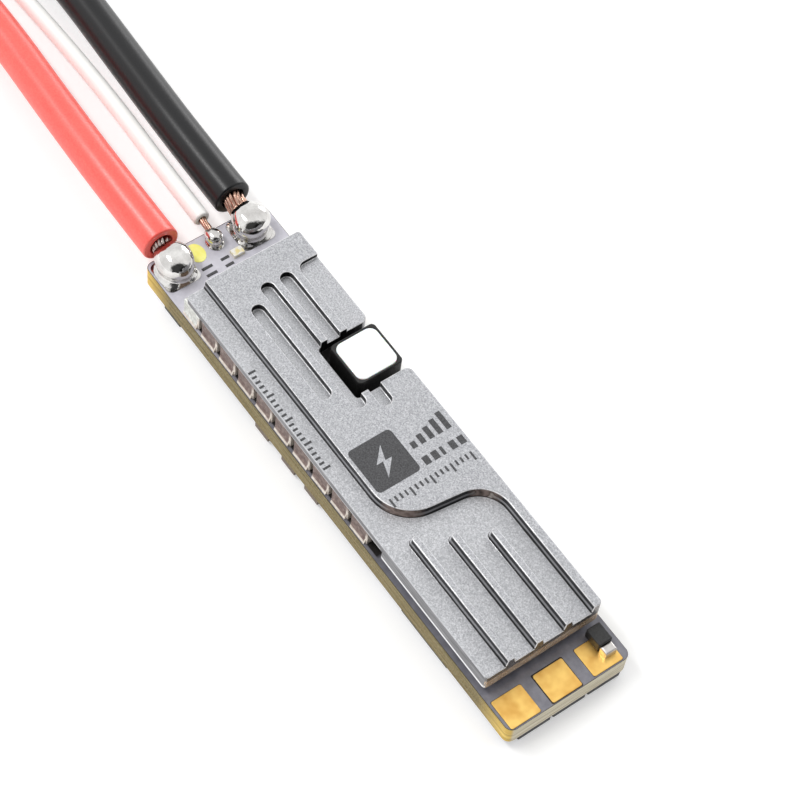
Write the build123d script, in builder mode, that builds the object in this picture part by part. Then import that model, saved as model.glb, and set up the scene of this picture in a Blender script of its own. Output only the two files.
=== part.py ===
from build123d import *
from math import pi, radians, tan
import os

# Slim brushless electronic speed controller, in millimetres.
# X runs along the board, towards the motor pads; the battery leads leave at -X.
# Y is across the board, towards the status LED; the capacitor row is at -Y.
# Z is up. The origin is under the board's centre, on the surface that the lower chips rest on.

# ---- board ----
BOARD_L = 44.5
BOARD_W = 10.4
BOARD_T = 1.8
BOARD_R = 0.6
CHIP_H = 0.9                       # height of the chips under the board
BOARD_TOP = CHIP_H + BOARD_T
PAD_T = 0.06                       # thickness of a gold-plated pad

# ---- heat sink ----
SINK_X0 = -17.1
SINK_X1 = 18.95
SINK_Y0 = -5.0
SINK_Y1 = 4.75
SINK_MID_Y = (SINK_Y0 + SINK_Y1) / 2
SINK_R = 0.3                       # rounding of the plate's upright corners
PLATE_BOTTOM = BOARD_TOP + 1.7     # underside of the thin plate above the capacitors
BLOCK_BOTTOM = BOARD_TOP + 0.75    # underside of the thick block above the transistors
LOW_TOP = BOARD_TOP + 2.3
HIGH_TOP = BOARD_TOP + 3.05
STEP_H = HIGH_TOP - LOW_TOP
BLOCK_X0 = 6.9                     # where the thick block begins
BLOCK_OVERLAP = 0.2                # how far the block's section reaches up into the plate
RIM = 0.45                         # wall around the block's underside recess
RECESS_TOP = BOARD_TOP + 1.25
STEP_TAPER = 12                    # slope of a milled step, in degrees from upright
STEP_Y0 = -3.35                    # edge of the raised land over the capacitors
STEP_Y1 = 4.05                     # edge of the raised land over the block
STEP_TURN_X = (6.3, 7.2)           # where the step crosses the plate
STEP_RADII = [3.1, 2.5]
RIB_W = 0.5
RIBS = [(7.85, -2.98), (9.15, -0.58), (10.35, 1.9)]     # nose X and centre Y of each rib
SLOT_W = 1.05
SLOT_D = 0.6
SLOTS = [(-13.45, -4.3, -1.58), (-14.65, -2.4, 0.05), (-14.65, -1.55, 1.7)]   # X0, X1, Y
POCKET_X0 = -14.7
POCKET_Y0 = 2.85
POCKET_D = 0.4
POCKET_R = 0.7
WINDOW_X0 = -8.3
WINDOW_X1 = -3.4
WINDOW_Y0 = 0.3
WINDOW_R = 0.3
CUT_PAST = 0.4                     # how far a cutter runs past the face that it opens
RUN_OUT = 2.0                      # how far an open outline runs past the sink's edge
MOUTH_R = 0.55                     # rounding of the window's two open corners

# ---- status LED ----
LED_X = -5.8
LED_Y = 2.75
LED_BODY = 3.8
LED_FACE = 3.45
LED_TOP = HIGH_TOP + 0.1
LED_FACE_DEPTH = 0.5
LED_BODY_R = 0.35
LED_FACE_R = 0.65

# ---- capacitor row ----
CAP_COUNT = 10
CAP_PITCH = 2.32
CAP_X0 = -16.45                    # centre of the capacitor nearest the battery end
CAP_W = 1.95
CAP_L = 3.1
CAP_H = 1.6
CAP_END = 0.45                     # width of a metal end cap
CAP_SHRINK = 0.06                  # how much smaller the ceramic is than its metal ends
CAP_FACE_Y = -4.95                 # outer faces of the row
CAP_Y = CAP_FACE_Y + CAP_L / 2
CAP_EDGE_R = 0.12
SOLDER_OUT = 0.17                  # solder fillet at the foot of each outer face
SOLDER_UP = 0.55
SOLDER_SHARE = 0.86                # share of the capacitor's width that the fillet covers
HOLLOW_OUT = 0.6                   # how far out and up the fillet's hollow lies, as shares of its size
HOLLOW_UP = 0.55

# ---- motor pads ----
MOTOR_PAD_X = 20.93
MOTOR_PAD_L = 2.4
MOTOR_PAD_W = 2.5
MOTOR_PAD_R = 0.15
MOTOR_PAD_Y = {"a": -3.69, "b": -0.18, "c": 3.33}

# ---- battery and signal connections ----
PLUS_AT = (-20.55, -3.58)
MINUS_AT = (-20.65, 3.05)
SIGNAL_AT = (-21.2, 0.25)
TELEMETRY_AT = (-21.1, -1.42)
BATTERY_PAD = 2.9
BATTERY_PAD_R = 0.5
SIGNAL_PAD_RADII = (0.8, 0.66)
TELEMETRY_PAD_RADII = (0.86, 0.66)
BLOB_R = 1.52
BLOB_H = 2.3
SIGNAL_BLOB_R = 0.62
SIGNAL_BLOB_H = 1.05
BLOB_FOOT = 0.9                    # a joint's radius on its pad, as a share of its largest radius
BLOB_WAIST = 0.42                  # height of the largest radius, as a share of the joint's height
BLOB_SHOULDER = 0.78               # radius and height where the dome begins, as a share of the full ones
STRANDS_INTO_JOINT = 0.3           # how far a conductor reaches past its pad's centre

# ---- leads ----
POWER_D = 3.0                      # silicone insulation of the power leads
POWER_CORE_D = 1.7
SIGNAL_D = 1.3
SIGNAL_CORE_D = 0.6
POWER_BARE = 5.0                   # stripped and tinned length at the free end
SIGNAL_BARE = 3.0
TIP_ROUND = 0.2                    # rounding of a tinned end, as a share of its diameter
RADIUS_SHARE = 0.45                # share of the shorter run that a corner's arc takes up
# Routes of the centrelines, from the board to the free end.
RED_ROUTE = [
    (-22.45, -3.60, 3.93), (-29.0, -3.58, 3.86), (-37.0, -3.12, 3.10), (-48.0, -2.30, 2.05),
    (-62.0, -2.75, 1.58), (-78.0, -4.30, 1.56), (-94.0, -4.55, 1.57), (-108.0, -3.10, 1.56),
    (-121.0, -2.35, 1.57),
]
BLACK_ROUTE = [
    (-23.05, 3.05, 3.95), (-29.6, 3.12, 3.84), (-37.6, 3.72, 3.06), (-49.0, 4.55, 2.02),
    (-63.0, 4.20, 1.57), (-79.0, 2.75, 1.56), (-95.0, 2.60, 1.57), (-109.0, 4.10, 1.56),
    (-120.0, 4.75, 1.57),
]
SIGNAL_ROUTE = [
    (-22.9, 0.28, 3.55), (-28.5, 0.40, 3.40), (-36.5, 1.02, 2.50), (-47.0, 1.25, 1.35),
    (-60.0, 0.62, 0.74), (-76.0, -0.86, 0.72), (-92.0, -1.02, 0.73), (-106.0, 0.42, 0.72),
    (-118.0, 1.10, 0.73),
]

# ---- packages: centres, length, width, height and rounding of the upright edges ----
PACKAGE_R = 0.12
TOP_FET_X = (10.15, 15.7)
TOP_FET_Y = (-3.05, -0.12, 2.81)
TOP_FET_L = 5.2
TOP_FET_W = 2.7
TOP_FET_H = 0.85
THERMAL_GAP = 0.15                 # room around the thermal pad in its recess
DIODE_AT = (20.05, 3.95)
DIODE_L = 1.5
DIODE_W = 1.15
DIODE_H = 0.95
TERMINAL_L = 0.7
TERMINAL_W = 0.95
TERMINAL_H = 0.7
TERMINAL_R = 0.15
UNDER_BOARD = {
    "end_transistors": ([(19.6, -2.65), (19.6, 0.35), (19.6, 3.35)], 5.1, 2.8, 0.9, PACKAGE_R),
    "mid_transistors": ([(12.5, -3.55), (12.5, -0.4), (12.5, 2.75)], 5.4, 2.8, 0.9, PACKAGE_R),
    "microcontroller": ([(3.4, 0.1)], 5.0, 5.0, 0.85, PACKAGE_R),
    "gate_driver": ([(-3.2, 0.6)], 4.0, 4.0, 0.8, PACKAGE_R),
    "voltage_regulator": ([(-8.6, 2.2)], 2.9, 1.6, 0.85, PACKAGE_R),
    "power_inductor": ([(-12.7, 1.6)], 3.0, 3.0, 0.9, 0.4),
    "surge_suppressor": ([(-18.85, -3.9)], 2.1, 2.2, 0.9, PACKAGE_R),
    "current_shunt": ([(-17.6, 2.6)], 3.2, 4.4, 0.6, 0),
    "edge_capacitors": ([(-7.0, -4.74), (-3.7, -4.74), (-0.85, -4.74)], 1.6, 0.85, 0.6, 0),
    "small_resistors": ([(-6.6, -2.3), (-5.0, -2.3), (-3.4, -2.3), (-1.8, -2.3), (0.0, -3.6),
                         (1.6, -3.6), (3.2, -3.6), (4.8, -3.6), (-11.0, -2.0), (-11.0, -3.4),
                         (7.6, -1.6), (7.6, 0.0), (7.6, 1.6), (7.6, 3.2)], 1.0, 0.5, 0.35, 0),
    "filter_capacitors": ([(-14.3, -1.6), (-14.3, -3.2), (0.0, 4.2), (1.8, 4.2), (3.6, 4.2),
                           (-6.8, 4.2)], 1.2, 0.8, 0.6, 0),
}
ON_BOARD = {
    "logic_chips": ([(-12.2, 2.3), (1.6, 2.4)], 3.0, 3.0, 0.85, PACKAGE_R),
    "signal_resistors": ([(-19.5, 1.1), (-1.6, 3.6), (-1.6, 2.2), (4.6, 3.4), (4.6, 1.8),
                          (-9.4, 3.3)], 0.62, 0.9, 0.35, 0),
}


def corner_radii(points, name):
    """Radius of the arc at each inner point: as large as its two runs allow."""
    radii = []
    for before, here, after in zip(points, points[1:], points[2:]):
        run_in = Vector(*here) - Vector(*before)
        run_out = Vector(*after) - Vector(*here)
        turn = radians(run_in.get_angle(run_out))
        shorter = min(run_in.length, run_out.length)
        radii.append(RADIUS_SHARE * shorter / tan(turn / 2))
    print(name, "radii", [round(r, 1) for r in radii])
    return radii


def lead_tube(points, diameter, name):
    """Insulated lead: straight runs joined by tangent arcs, with its volume checked."""
    with BuildLine() as path:
        FilletPolyline(*points, radius=corner_radii(points, name))
    line = path.wire()
    with BuildPart() as tube:
        with BuildSketch(Plane(origin=line @ 0, z_dir=line % 0)):
            Circle(diameter / 2)
        sweep(path=line)
    expected = pi * (diameter / 2) ** 2 * line.length
    print(name, "length", round(line.length, 2), "volume", round(tube.part.volume, 2),
          "expected", round(expected, 2))
    return tube, line


def bare_end(line, length, diameter):
    """Stripped, tinned conductor that continues a lead straight past its last point."""
    with BuildPart() as tip:
        with BuildSketch(Plane(origin=line @ 1, z_dir=line % 1)):
            Circle(diameter / 2)
        extrude(amount=length)
        fillet(tip.faces().sort_by(Axis.X)[0].edges(), diameter * TIP_ROUND)
    return tip


def strand_bundle(line, reach, diameter):
    """Bare conductor between a lead's insulation and its solder joint."""
    with BuildPart() as bundle:
        with BuildSketch(Plane(origin=line @ 0, z_dir=-(line % 0))):
            Circle(diameter / 2)
        extrude(amount=reach)
    return bundle


def solder_blob(place, radius, height, bundle):
    """Rounded solder joint on its pad, with the conductor's room cut out of it."""
    base = BOARD_TOP + PAD_T
    foot = (BLOB_FOOT * radius, base)
    waist = (radius, base + BLOB_WAIST * height)
    shoulder = (BLOB_SHOULDER * radius, base + BLOB_SHOULDER * height)
    top = (0, base + height)
    with BuildPart() as blob:
        with BuildSketch(Plane(origin=(*place, 0), x_dir=(1, 0, 0), z_dir=(0, -1, 0))):
            with BuildLine():
                Line((0, base), foot)
                side = ThreePointArc(foot, waist, shoulder)
                TangentArc(shoulder, top, tangent=side % 1)
                Line(top, (0, base))
            make_face()
        revolve(axis=Axis((*place, 0), (0, 0, 1)))
        add(bundle.part, mode=Mode.SUBTRACT)
    return blob


def chips(places, length, width, height, bottom, edge):
    """A set of equal packages whose undersides are at the given height, with rounded upright edges."""
    with BuildPart() as group:
        with BuildSketch(Plane.XY.offset(bottom)):
            with Locations(*places):
                Rectangle(length, width)
        extrude(amount=height)
        if edge > 0:
            fillet(group.edges().filter_by(Axis.Z), edge)
    return group


def finish(builder, name):
    """Label a sub-part and write it to its own file."""
    builder.part.label = name
    export_step(builder.part, "parts/" + name + ".step")


os.makedirs("parts", exist_ok=True)

# ---- circuit board ----
with BuildPart() as circuit_board:
    with BuildSketch(Plane.XY.offset(CHIP_H)):
        RectangleRounded(BOARD_L, BOARD_W, BOARD_R)
    extrude(amount=BOARD_T)
finish(circuit_board, "circuit_board")

# ---- heat sink: the raised land, with sloped feet, before it is cut to the sink's outline ----
with BuildPart() as raised_land:
    with BuildSketch(Plane.XY.offset(HIGH_TOP)):
        with BuildLine():
            edge = FilletPolyline((SINK_X0 - RUN_OUT, STEP_Y0), (STEP_TURN_X[0], STEP_Y0),
                                  (STEP_TURN_X[1], STEP_Y1), (SINK_X1 + RUN_OUT, STEP_Y1),
                                  radius=STEP_RADII)
            Polyline(edge @ 1, (SINK_X1 + RUN_OUT, SINK_Y1 + RUN_OUT),
                     (SINK_X0 - RUN_OUT, SINK_Y1 + RUN_OUT), edge @ 0)
        make_face()
        for nose_x, rib_y in RIBS:
            run = SINK_X1 + RUN_OUT - nose_x
            with Locations((nose_x + run / 2, rib_y)):
                SlotOverall(run, RIB_W)
    extrude(amount=-STEP_H, taper=-STEP_TAPER)

# ---- heat sink ----
PLATE_AT = ((SINK_X0 + SINK_X1) / 2, SINK_MID_Y)
BLOCK_AT = ((BLOCK_X0 + SINK_X1) / 2, SINK_MID_Y)
SINK_L = SINK_X1 - SINK_X0
SINK_W = SINK_Y1 - SINK_Y0
BLOCK_L = SINK_X1 - BLOCK_X0
with BuildPart() as heat_sink:
    with BuildSketch(Plane.XY.offset(PLATE_BOTTOM)):
        with Locations(PLATE_AT):
            RectangleRounded(SINK_L, SINK_W, SINK_R)
    extrude(amount=HIGH_TOP - PLATE_BOTTOM)
    with BuildSketch(Plane.XY.offset(LOW_TOP)):
        with Locations(PLATE_AT):
            Rectangle(SINK_L + 2 * CUT_PAST, SINK_W + 2 * CUT_PAST)
    band = extrude(amount=STEP_H + CUT_PAST, mode=Mode.PRIVATE)
    add(band - raised_land.part, mode=Mode.SUBTRACT)
    with BuildSketch(Plane.XY.offset(BLOCK_BOTTOM)):
        with Locations(BLOCK_AT):
            RectangleRounded(BLOCK_L, SINK_W, SINK_R)
    extrude(amount=PLATE_BOTTOM + BLOCK_OVERLAP - BLOCK_BOTTOM)
    with BuildSketch(Plane.XY.offset(BLOCK_BOTTOM)):
        with Locations(BLOCK_AT):
            Rectangle(BLOCK_L - 2 * RIM, SINK_W - 2 * RIM)
    extrude(amount=RECESS_TOP - BLOCK_BOTTOM, mode=Mode.SUBTRACT)
    with BuildSketch(Plane.XY.offset(HIGH_TOP - SLOT_D)):
        for slot_x0, slot_x1, slot_y in SLOTS:
            with Locations(((slot_x0 + slot_x1) / 2, slot_y)):
                SlotOverall(slot_x1 - slot_x0, SLOT_W)
    extrude(amount=SLOT_D + CUT_PAST, mode=Mode.SUBTRACT)
    with BuildSketch(Plane.XY.offset(HIGH_TOP - POCKET_D)):
        with Locations((POCKET_X0, POCKET_Y0)):
            RectangleRounded(WINDOW_X0 + WINDOW_R + POCKET_R - POCKET_X0, SINK_Y1 + RUN_OUT - POCKET_Y0,
                             POCKET_R, align=(Align.MIN, Align.MIN))
    extrude(amount=POCKET_D + CUT_PAST, mode=Mode.SUBTRACT)
    with BuildSketch(Plane.XY.offset(PLATE_BOTTOM - CUT_PAST)):
        with Locations((WINDOW_X0, WINDOW_Y0)):
            RectangleRounded(WINDOW_X1 - WINDOW_X0, SINK_Y1 + RUN_OUT - WINDOW_Y0, WINDOW_R,
                             align=(Align.MIN, Align.MIN))
        for edge_x, away in ((WINDOW_X0, -1), (WINDOW_X1, 1)):
            with Locations((edge_x + away * MOUTH_R / 2, SINK_Y1 - MOUTH_R / 2)):
                Rectangle(MOUTH_R, MOUTH_R)
            with Locations((edge_x + away * MOUTH_R, SINK_Y1 - MOUTH_R)):
                Circle(MOUTH_R, mode=Mode.SUBTRACT)
    extrude(amount=HIGH_TOP - PLATE_BOTTOM + 2 * CUT_PAST, mode=Mode.SUBTRACT)
finish(heat_sink, "heat_sink")

# ---- thermal pad between the transistors and the heat sink ----
with BuildPart() as thermal_pad:
    with BuildSketch(Plane.XY.offset(BOARD_TOP + TOP_FET_H)):
        with Locations(BLOCK_AT):
            Rectangle(BLOCK_L - 2 * RIM - 2 * THERMAL_GAP, SINK_W - 2 * RIM - 2 * THERMAL_GAP)
    extrude(amount=RECESS_TOP - BOARD_TOP - TOP_FET_H)
finish(thermal_pad, "thermal_pad")

# ---- power transistors under the heat sink ----
top_transistors = chips([(x, y) for x in TOP_FET_X for y in TOP_FET_Y],
                        TOP_FET_L, TOP_FET_W, TOP_FET_H, BOARD_TOP, PACKAGE_R)
finish(top_transistors, "top_transistors")

# ---- status LED ----
with BuildPart() as led_housing:
    with BuildSketch(Plane.XY.offset(BOARD_TOP)):
        with Locations((LED_X, LED_Y)):
            RectangleRounded(LED_BODY, LED_BODY, LED_BODY_R)
    extrude(amount=LED_TOP - BOARD_TOP)
    with BuildSketch(Plane.XY.offset(LED_TOP)):
        with Locations((LED_X, LED_Y)):
            RectangleRounded(LED_FACE, LED_FACE, LED_FACE_R)
    extrude(amount=-LED_FACE_DEPTH, mode=Mode.SUBTRACT)
finish(led_housing, "led_housing")

with BuildPart() as led_lens:
    with BuildSketch(Plane.XY.offset(LED_TOP - LED_FACE_DEPTH)):
        with Locations((LED_X, LED_Y)):
            RectangleRounded(LED_FACE, LED_FACE, LED_FACE_R)
    extrude(amount=LED_FACE_DEPTH)
finish(led_lens, "led_lens")

# ---- capacitor row: ceramic bodies and their metal ends ----
cap_x = [CAP_X0 + i * CAP_PITCH for i in range(CAP_COUNT)]
capacitor_bodies = chips([(x, CAP_Y) for x in cap_x], CAP_W - CAP_SHRINK, CAP_L - 2 * CAP_END,
                         CAP_H - CAP_SHRINK, BOARD_TOP, 0)
finish(capacitor_bodies, "capacitor_bodies")
with BuildPart() as capacitor_ends:
    with BuildSketch(Plane.XY.offset(BOARD_TOP)):
        for side in (-1, 1):
            with Locations(*[(x, CAP_Y + side * (CAP_L - CAP_END) / 2) for x in cap_x]):
                Rectangle(CAP_W, CAP_END)
    extrude(amount=CAP_H)
    outer_faces = capacitor_ends.faces().filter_by(Axis.Y).sort_by(Axis.Y)[:CAP_COUNT]
    fillet(outer_faces.edges().filter_by(Axis.X).group_by(Axis.Z)[-1], CAP_EDGE_R)
finish(capacitor_ends, "capacitor_ends")
with BuildPart() as capacitor_fillets:
    foot = (CAP_FACE_Y - SOLDER_OUT, BOARD_TOP)
    top = (CAP_FACE_Y, BOARD_TOP + SOLDER_UP)
    hollow = (CAP_FACE_Y - HOLLOW_OUT * SOLDER_OUT, BOARD_TOP + HOLLOW_UP * SOLDER_UP)
    for x in cap_x:
        start_x = x - SOLDER_SHARE * CAP_W / 2
        with BuildSketch(Plane(origin=(start_x, 0, 0), x_dir=(0, 1, 0), z_dir=(1, 0, 0))):
            with BuildLine():
                Polyline(foot, (CAP_FACE_Y, BOARD_TOP), top)
                ThreePointArc(top, hollow, foot)
            make_face()
        extrude(amount=SOLDER_SHARE * CAP_W)
finish(capacitor_fillets, "capacitor_fillets")

# ---- motor pads: gold-plated copper on the board's end ----
for letter, pad_y in MOTOR_PAD_Y.items():
    with BuildPart() as motor_pad:
        with BuildSketch(Plane.XY.offset(BOARD_TOP)):
            with Locations((MOTOR_PAD_X, pad_y)):
                RectangleRounded(MOTOR_PAD_L, MOTOR_PAD_W, MOTOR_PAD_R)
        extrude(amount=PAD_T)
    finish(motor_pad, "motor_pad_" + letter)

# ---- pads at the battery end ----
with BuildPart() as battery_pads:
    with BuildSketch(Plane.XY.offset(BOARD_TOP)):
        with Locations(PLUS_AT, MINUS_AT):
            RectangleRounded(BATTERY_PAD, BATTERY_PAD, BATTERY_PAD_R)
    extrude(amount=PAD_T)
finish(battery_pads, "battery_pads")
with BuildPart() as signal_pad:
    with BuildSketch(Plane.XY.offset(BOARD_TOP)):
        with Locations(SIGNAL_AT):
            Ellipse(*SIGNAL_PAD_RADII)
    extrude(amount=PAD_T)
finish(signal_pad, "signal_pad")
with BuildPart() as telemetry_pad:
    with BuildSketch(Plane.XY.offset(BOARD_TOP)):
        with Locations(TELEMETRY_AT):
            Ellipse(*TELEMETRY_PAD_RADII)
    extrude(amount=PAD_T)
finish(telemetry_pad, "telemetry_pad")

# ---- leads, their bare ends and their solder joints ----
POWER_LEAD = (POWER_D, POWER_CORE_D, POWER_BARE, BLOB_R, BLOB_H)
SIGNAL_LEAD = (SIGNAL_D, SIGNAL_CORE_D, SIGNAL_BARE, SIGNAL_BLOB_R, SIGNAL_BLOB_H)
LEADS = {
    "positive": (RED_ROUTE, PLUS_AT, POWER_LEAD),
    "negative": (BLACK_ROUTE, MINUS_AT, POWER_LEAD),
    "signal": (SIGNAL_ROUTE, SIGNAL_AT, SIGNAL_LEAD),
}
for lead_name, (route, pad_at, (outer_d, core_d, bare, blob_r, blob_h)) in LEADS.items():
    lead, line = lead_tube(route, outer_d, lead_name + "_lead")
    finish(lead, lead_name + "_lead")
    tip = bare_end(line, bare, core_d)
    finish(tip, lead_name + "_lead_tip")
    strands = strand_bundle(line, pad_at[0] + STRANDS_INTO_JOINT - route[0][0], core_d)
    finish(strands, lead_name + "_strands")
    blob = solder_blob(pad_at, blob_r, blob_h, strands)
    finish(blob, lead_name + "_solder")

# ---- suppressor at the corner of the last motor pad ----
with BuildPart() as corner_diode:
    with BuildSketch(Plane.XY.offset(BOARD_TOP + PAD_T)):
        with Locations(DIODE_AT):
            Rectangle(DIODE_L, DIODE_W)
    extrude(amount=DIODE_H)
    fillet(corner_diode.edges().filter_by(Axis.Z), PACKAGE_R)
finish(corner_diode, "corner_diode")
with BuildPart() as corner_diode_terminal:
    with BuildSketch(Plane.XY.offset(BOARD_TOP + PAD_T)):
        with Locations((DIODE_AT[0] + (DIODE_L + TERMINAL_L) / 2, DIODE_AT[1])):
            Rectangle(TERMINAL_L, TERMINAL_W)
    extrude(amount=TERMINAL_H)
    fillet(corner_diode_terminal.edges().group_by(Axis.Z)[-1], TERMINAL_R)
finish(corner_diode_terminal, "corner_diode_terminal")

# ---- packages under the board, and the small ones on top of it ----
for package_name, (places, length, width, height, edge_r) in UNDER_BOARD.items():
    finish(chips(places, length, width, height, CHIP_H - height, edge_r), package_name)
for package_name, (places, length, width, height, edge_r) in ON_BOARD.items():
    finish(chips(places, length, width, height, BOARD_TOP, edge_r), package_name)
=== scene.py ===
import math
import random

import bmesh
import bpy
from mathutils import Matrix, Vector
from mathutils.geometry import tessellate_polygon


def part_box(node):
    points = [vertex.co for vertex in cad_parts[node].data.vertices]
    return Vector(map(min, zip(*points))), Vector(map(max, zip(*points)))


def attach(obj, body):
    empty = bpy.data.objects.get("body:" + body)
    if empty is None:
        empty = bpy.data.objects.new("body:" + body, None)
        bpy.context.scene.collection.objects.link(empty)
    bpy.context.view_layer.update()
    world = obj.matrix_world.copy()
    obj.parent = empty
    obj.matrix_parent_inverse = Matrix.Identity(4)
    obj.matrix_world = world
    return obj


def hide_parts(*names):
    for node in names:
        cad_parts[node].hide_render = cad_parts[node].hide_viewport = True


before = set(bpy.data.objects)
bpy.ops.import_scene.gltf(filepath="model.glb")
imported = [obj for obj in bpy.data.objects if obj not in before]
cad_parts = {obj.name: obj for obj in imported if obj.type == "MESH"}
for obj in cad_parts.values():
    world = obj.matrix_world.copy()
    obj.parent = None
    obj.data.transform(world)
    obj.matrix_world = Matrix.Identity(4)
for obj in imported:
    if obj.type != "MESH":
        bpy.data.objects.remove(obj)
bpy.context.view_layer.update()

MM = 0.001
SEED = 7
random.seed(SEED)
scene = bpy.context.scene
collection = scene.collection


def mm(*values):
    """Millimetres of the part's frame as a vector in metres."""
    return Vector(values) * MM


# ---- camera: above the motor end, on the capacitors' side ----
AIM = mm(-2.8, 3.8, 2.7)
AZIMUTH = math.radians(-43.1)
ELEVATION = math.radians(58.5)
DISTANCE = 193 * MM
ROLL = math.radians(8.63)
SENSOR = 36.0
FOCAL = 122.0


def add_camera():
    """The photo's camera: it looks at AIM and is rolled so that the object lies as in the photo."""
    no_highlight = Vector((math.cos(ELEVATION) * math.cos(AZIMUTH),
                   math.cos(ELEVATION) * math.sin(AZIMUTH),
                   math.sin(ELEVATION)))
    data = bpy.data.cameras.new("camera")
    data.lens = FOCAL
    data.sensor_width = SENSOR
    data.clip_start = 0.01
    data.clip_end = 5.0
    camera = bpy.data.objects.new("camera", data)
    collection.objects.link(camera)
    turn = no_highlight.to_track_quat("Z", "Y").to_matrix() @ Matrix.Rotation(ROLL, 3, "Z")
    camera.matrix_world = Matrix.Translation(AIM + no_highlight * DISTANCE) @ turn.to_4x4()
    scene.camera = camera


add_camera()

# ---- places and sizes in millimetres, from the frame where it has them ----
BLOCK_X0 = 6.9                     # where the heat sink's thick block begins
STEP_HEIGHT = 0.75                 # from the raised land down to the lower plane
PLATE_GAP = 1.7                    # between the board and the thin plate
CAP_X0 = -16.45                    # middle of the first capacitor
CAP_PITCH = 2.32
low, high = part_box("circuit_board")
BOARD_X0, BOARD_Y0, BOARD_Z0 = (v / MM for v in low)
BOARD_X1, BOARD_Y1, BOARD_TOP = (v / MM for v in high)
low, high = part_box("heat_sink")
SINK_X0, SINK_Y0, BLOCK_BOTTOM = (v / MM for v in low)
SINK_X1, SINK_Y1, HIGH_TOP = (v / MM for v in high)
LOW_TOP = HIGH_TOP - STEP_HEIGHT
PLATE_BOTTOM = BOARD_TOP + PLATE_GAP
PAD_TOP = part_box("motor_pad_a")[1].z / MM


# ---- cords: the three leads, from the board to their free ends ----
POWER_D = 3.0
SIGNAL_D = 1.3
POWER_CORE = 1.7
SIGNAL_CORE = 0.6
LEAD_SIDES = 48
LEAD_ROUND = 0.16 * MM             # rounding of the insulation's cut edge
RECESS = 0.3 * MM                  # how deep the cut end is hollowed round the core
RECESS_FLARE = 1.12                # how much wider than the core that hollow is at the cut

# Control points of each lead's route, from the board outwards.
RED_ROUTE = [
    (-22.45, -3.60, 3.93), (-29.0, -3.58, 3.86), (-37.0, -3.12, 3.10), (-48.0, -2.30, 2.05),
    (-62.0, -2.75, 1.58), (-78.0, -4.30, 1.56), (-94.0, -4.55, 1.57), (-108.0, -3.10, 1.56),
    (-121.0, -2.35, 1.57),
]
BLACK_ROUTE = [
    (-23.05, 3.05, 3.95), (-29.6, 3.12, 3.84), (-37.6, 3.72, 3.06), (-49.0, 4.55, 2.02),
    (-63.0, 4.20, 1.57), (-79.0, 2.75, 1.56), (-95.0, 2.60, 1.57), (-109.0, 4.10, 1.56),
    (-120.0, 4.75, 1.57),
]
SIGNAL_ROUTE = [
    (-22.9, 0.28, 3.55), (-28.5, 0.40, 3.40), (-36.5, 1.02, 2.50), (-47.0, 1.25, 1.35),
    (-60.0, 0.62, 0.74), (-76.0, -0.86, 0.72), (-92.0, -1.02, 0.73), (-106.0, 0.42, 0.72),
    (-118.0, 1.10, 0.73),
]


def nurbs_line(route):
    """Points along the smooth NURBS line whose control points are the route's."""
    data = bpy.data.curves.new("route", "CURVE")
    data.dimensions = "3D"
    data.resolution_u = 14
    spline = data.splines.new("NURBS")
    spline.points.add(len(route) - 1)
    for point, place in zip(spline.points, route):
        point.co = (*mm(*place), 1.0)
    spline.order_u = 3
    spline.use_endpoint_u = True
    holder = bpy.data.objects.new("route", data)
    collection.objects.link(holder)
    evaluated = holder.evaluated_get(bpy.context.evaluated_depsgraph_get())
    line = bpy.data.meshes.new_from_object(evaluated)
    points = [vertex.co.copy() for vertex in line.vertices]
    bpy.data.objects.remove(holder)
    bpy.data.meshes.remove(line)
    return points


def frames_along(points):
    """A point, a direction and two cross directions at each point, without twist."""
    frames = []
    side = None
    for i, point in enumerate(points):
        ahead = (points[min(i + 1, len(points) - 1)] - points[max(i - 1, 0)]).normalized()
        if side is None:
            side = ahead.cross(Vector((0, 0, 1)))
        side = (side - ahead * side.dot(ahead)).normalized()
        frames.append((point, ahead, side, ahead.cross(side)))
    return frames


def add_skin(work, loops):
    """Faces from each loop of points to the next, and a cap on both ends."""
    sides = len(loops[0])
    for first, second in zip(loops, loops[1:]):
        for k in range(sides):
            after = (k + 1) % sides
            work.faces.new((first[k], first[after], second[after], second[k]))
    work.faces.new(list(reversed(loops[0])))
    work.faces.new(loops[-1])


def add_rings(work, rings, sides):
    """Closed skin over rings given as centre, side, up and radius."""
    turns = [math.tau * k / sides for k in range(sides)]
    loops = []
    for centre, side, up, radius in rings:
        loops.append([work.verts.new(centre + (side * math.cos(turn) + up * math.sin(turn)) * radius)
                      for turn in turns])
    add_skin(work, loops)


def rounded_end(radius, round_off):
    """How far in and how wide the rings of a rounded end are, from its face to the full width."""
    turns = [math.pi / 2 * k / 4 for k in (4, 3, 2, 1, 0)]
    return [(round_off * (1 - math.sin(turn)), radius - round_off * (1 - math.cos(turn)))
            for turn in turns]


def add_tube(work, points, radius, sides, ends):
    """Bar along the points. ends lists how far in and how wide the rings at both its ends are."""
    frames = frames_along(points)
    point, ahead, side, up = frames[0]
    rings = [(point + ahead * inset, side, up, width) for inset, width in ends]
    rings += [(point, side, up, radius) for point, ahead, side, up in frames[1:-1]]
    point, ahead, side, up = frames[-1]
    rings += [(point - ahead * inset, side, up, width) for inset, width in reversed(ends)]
    add_rings(work, rings, sides)


def mesh_from(work, name):
    """The finished mesh, with its faces turned outwards."""
    bmesh.ops.recalc_face_normals(work, faces=work.faces)
    mesh = bpy.data.meshes.new(name)
    work.to_mesh(mesh)
    work.free()
    return mesh


def smooth(mesh, degrees=35):
    """Smooth shading, with a hard edge wherever two faces meet at more than the angle."""
    for polygon in mesh.polygons:
        polygon.use_smooth = True
    mesh.set_sharp_from_angle(angle=math.radians(degrees))


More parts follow.
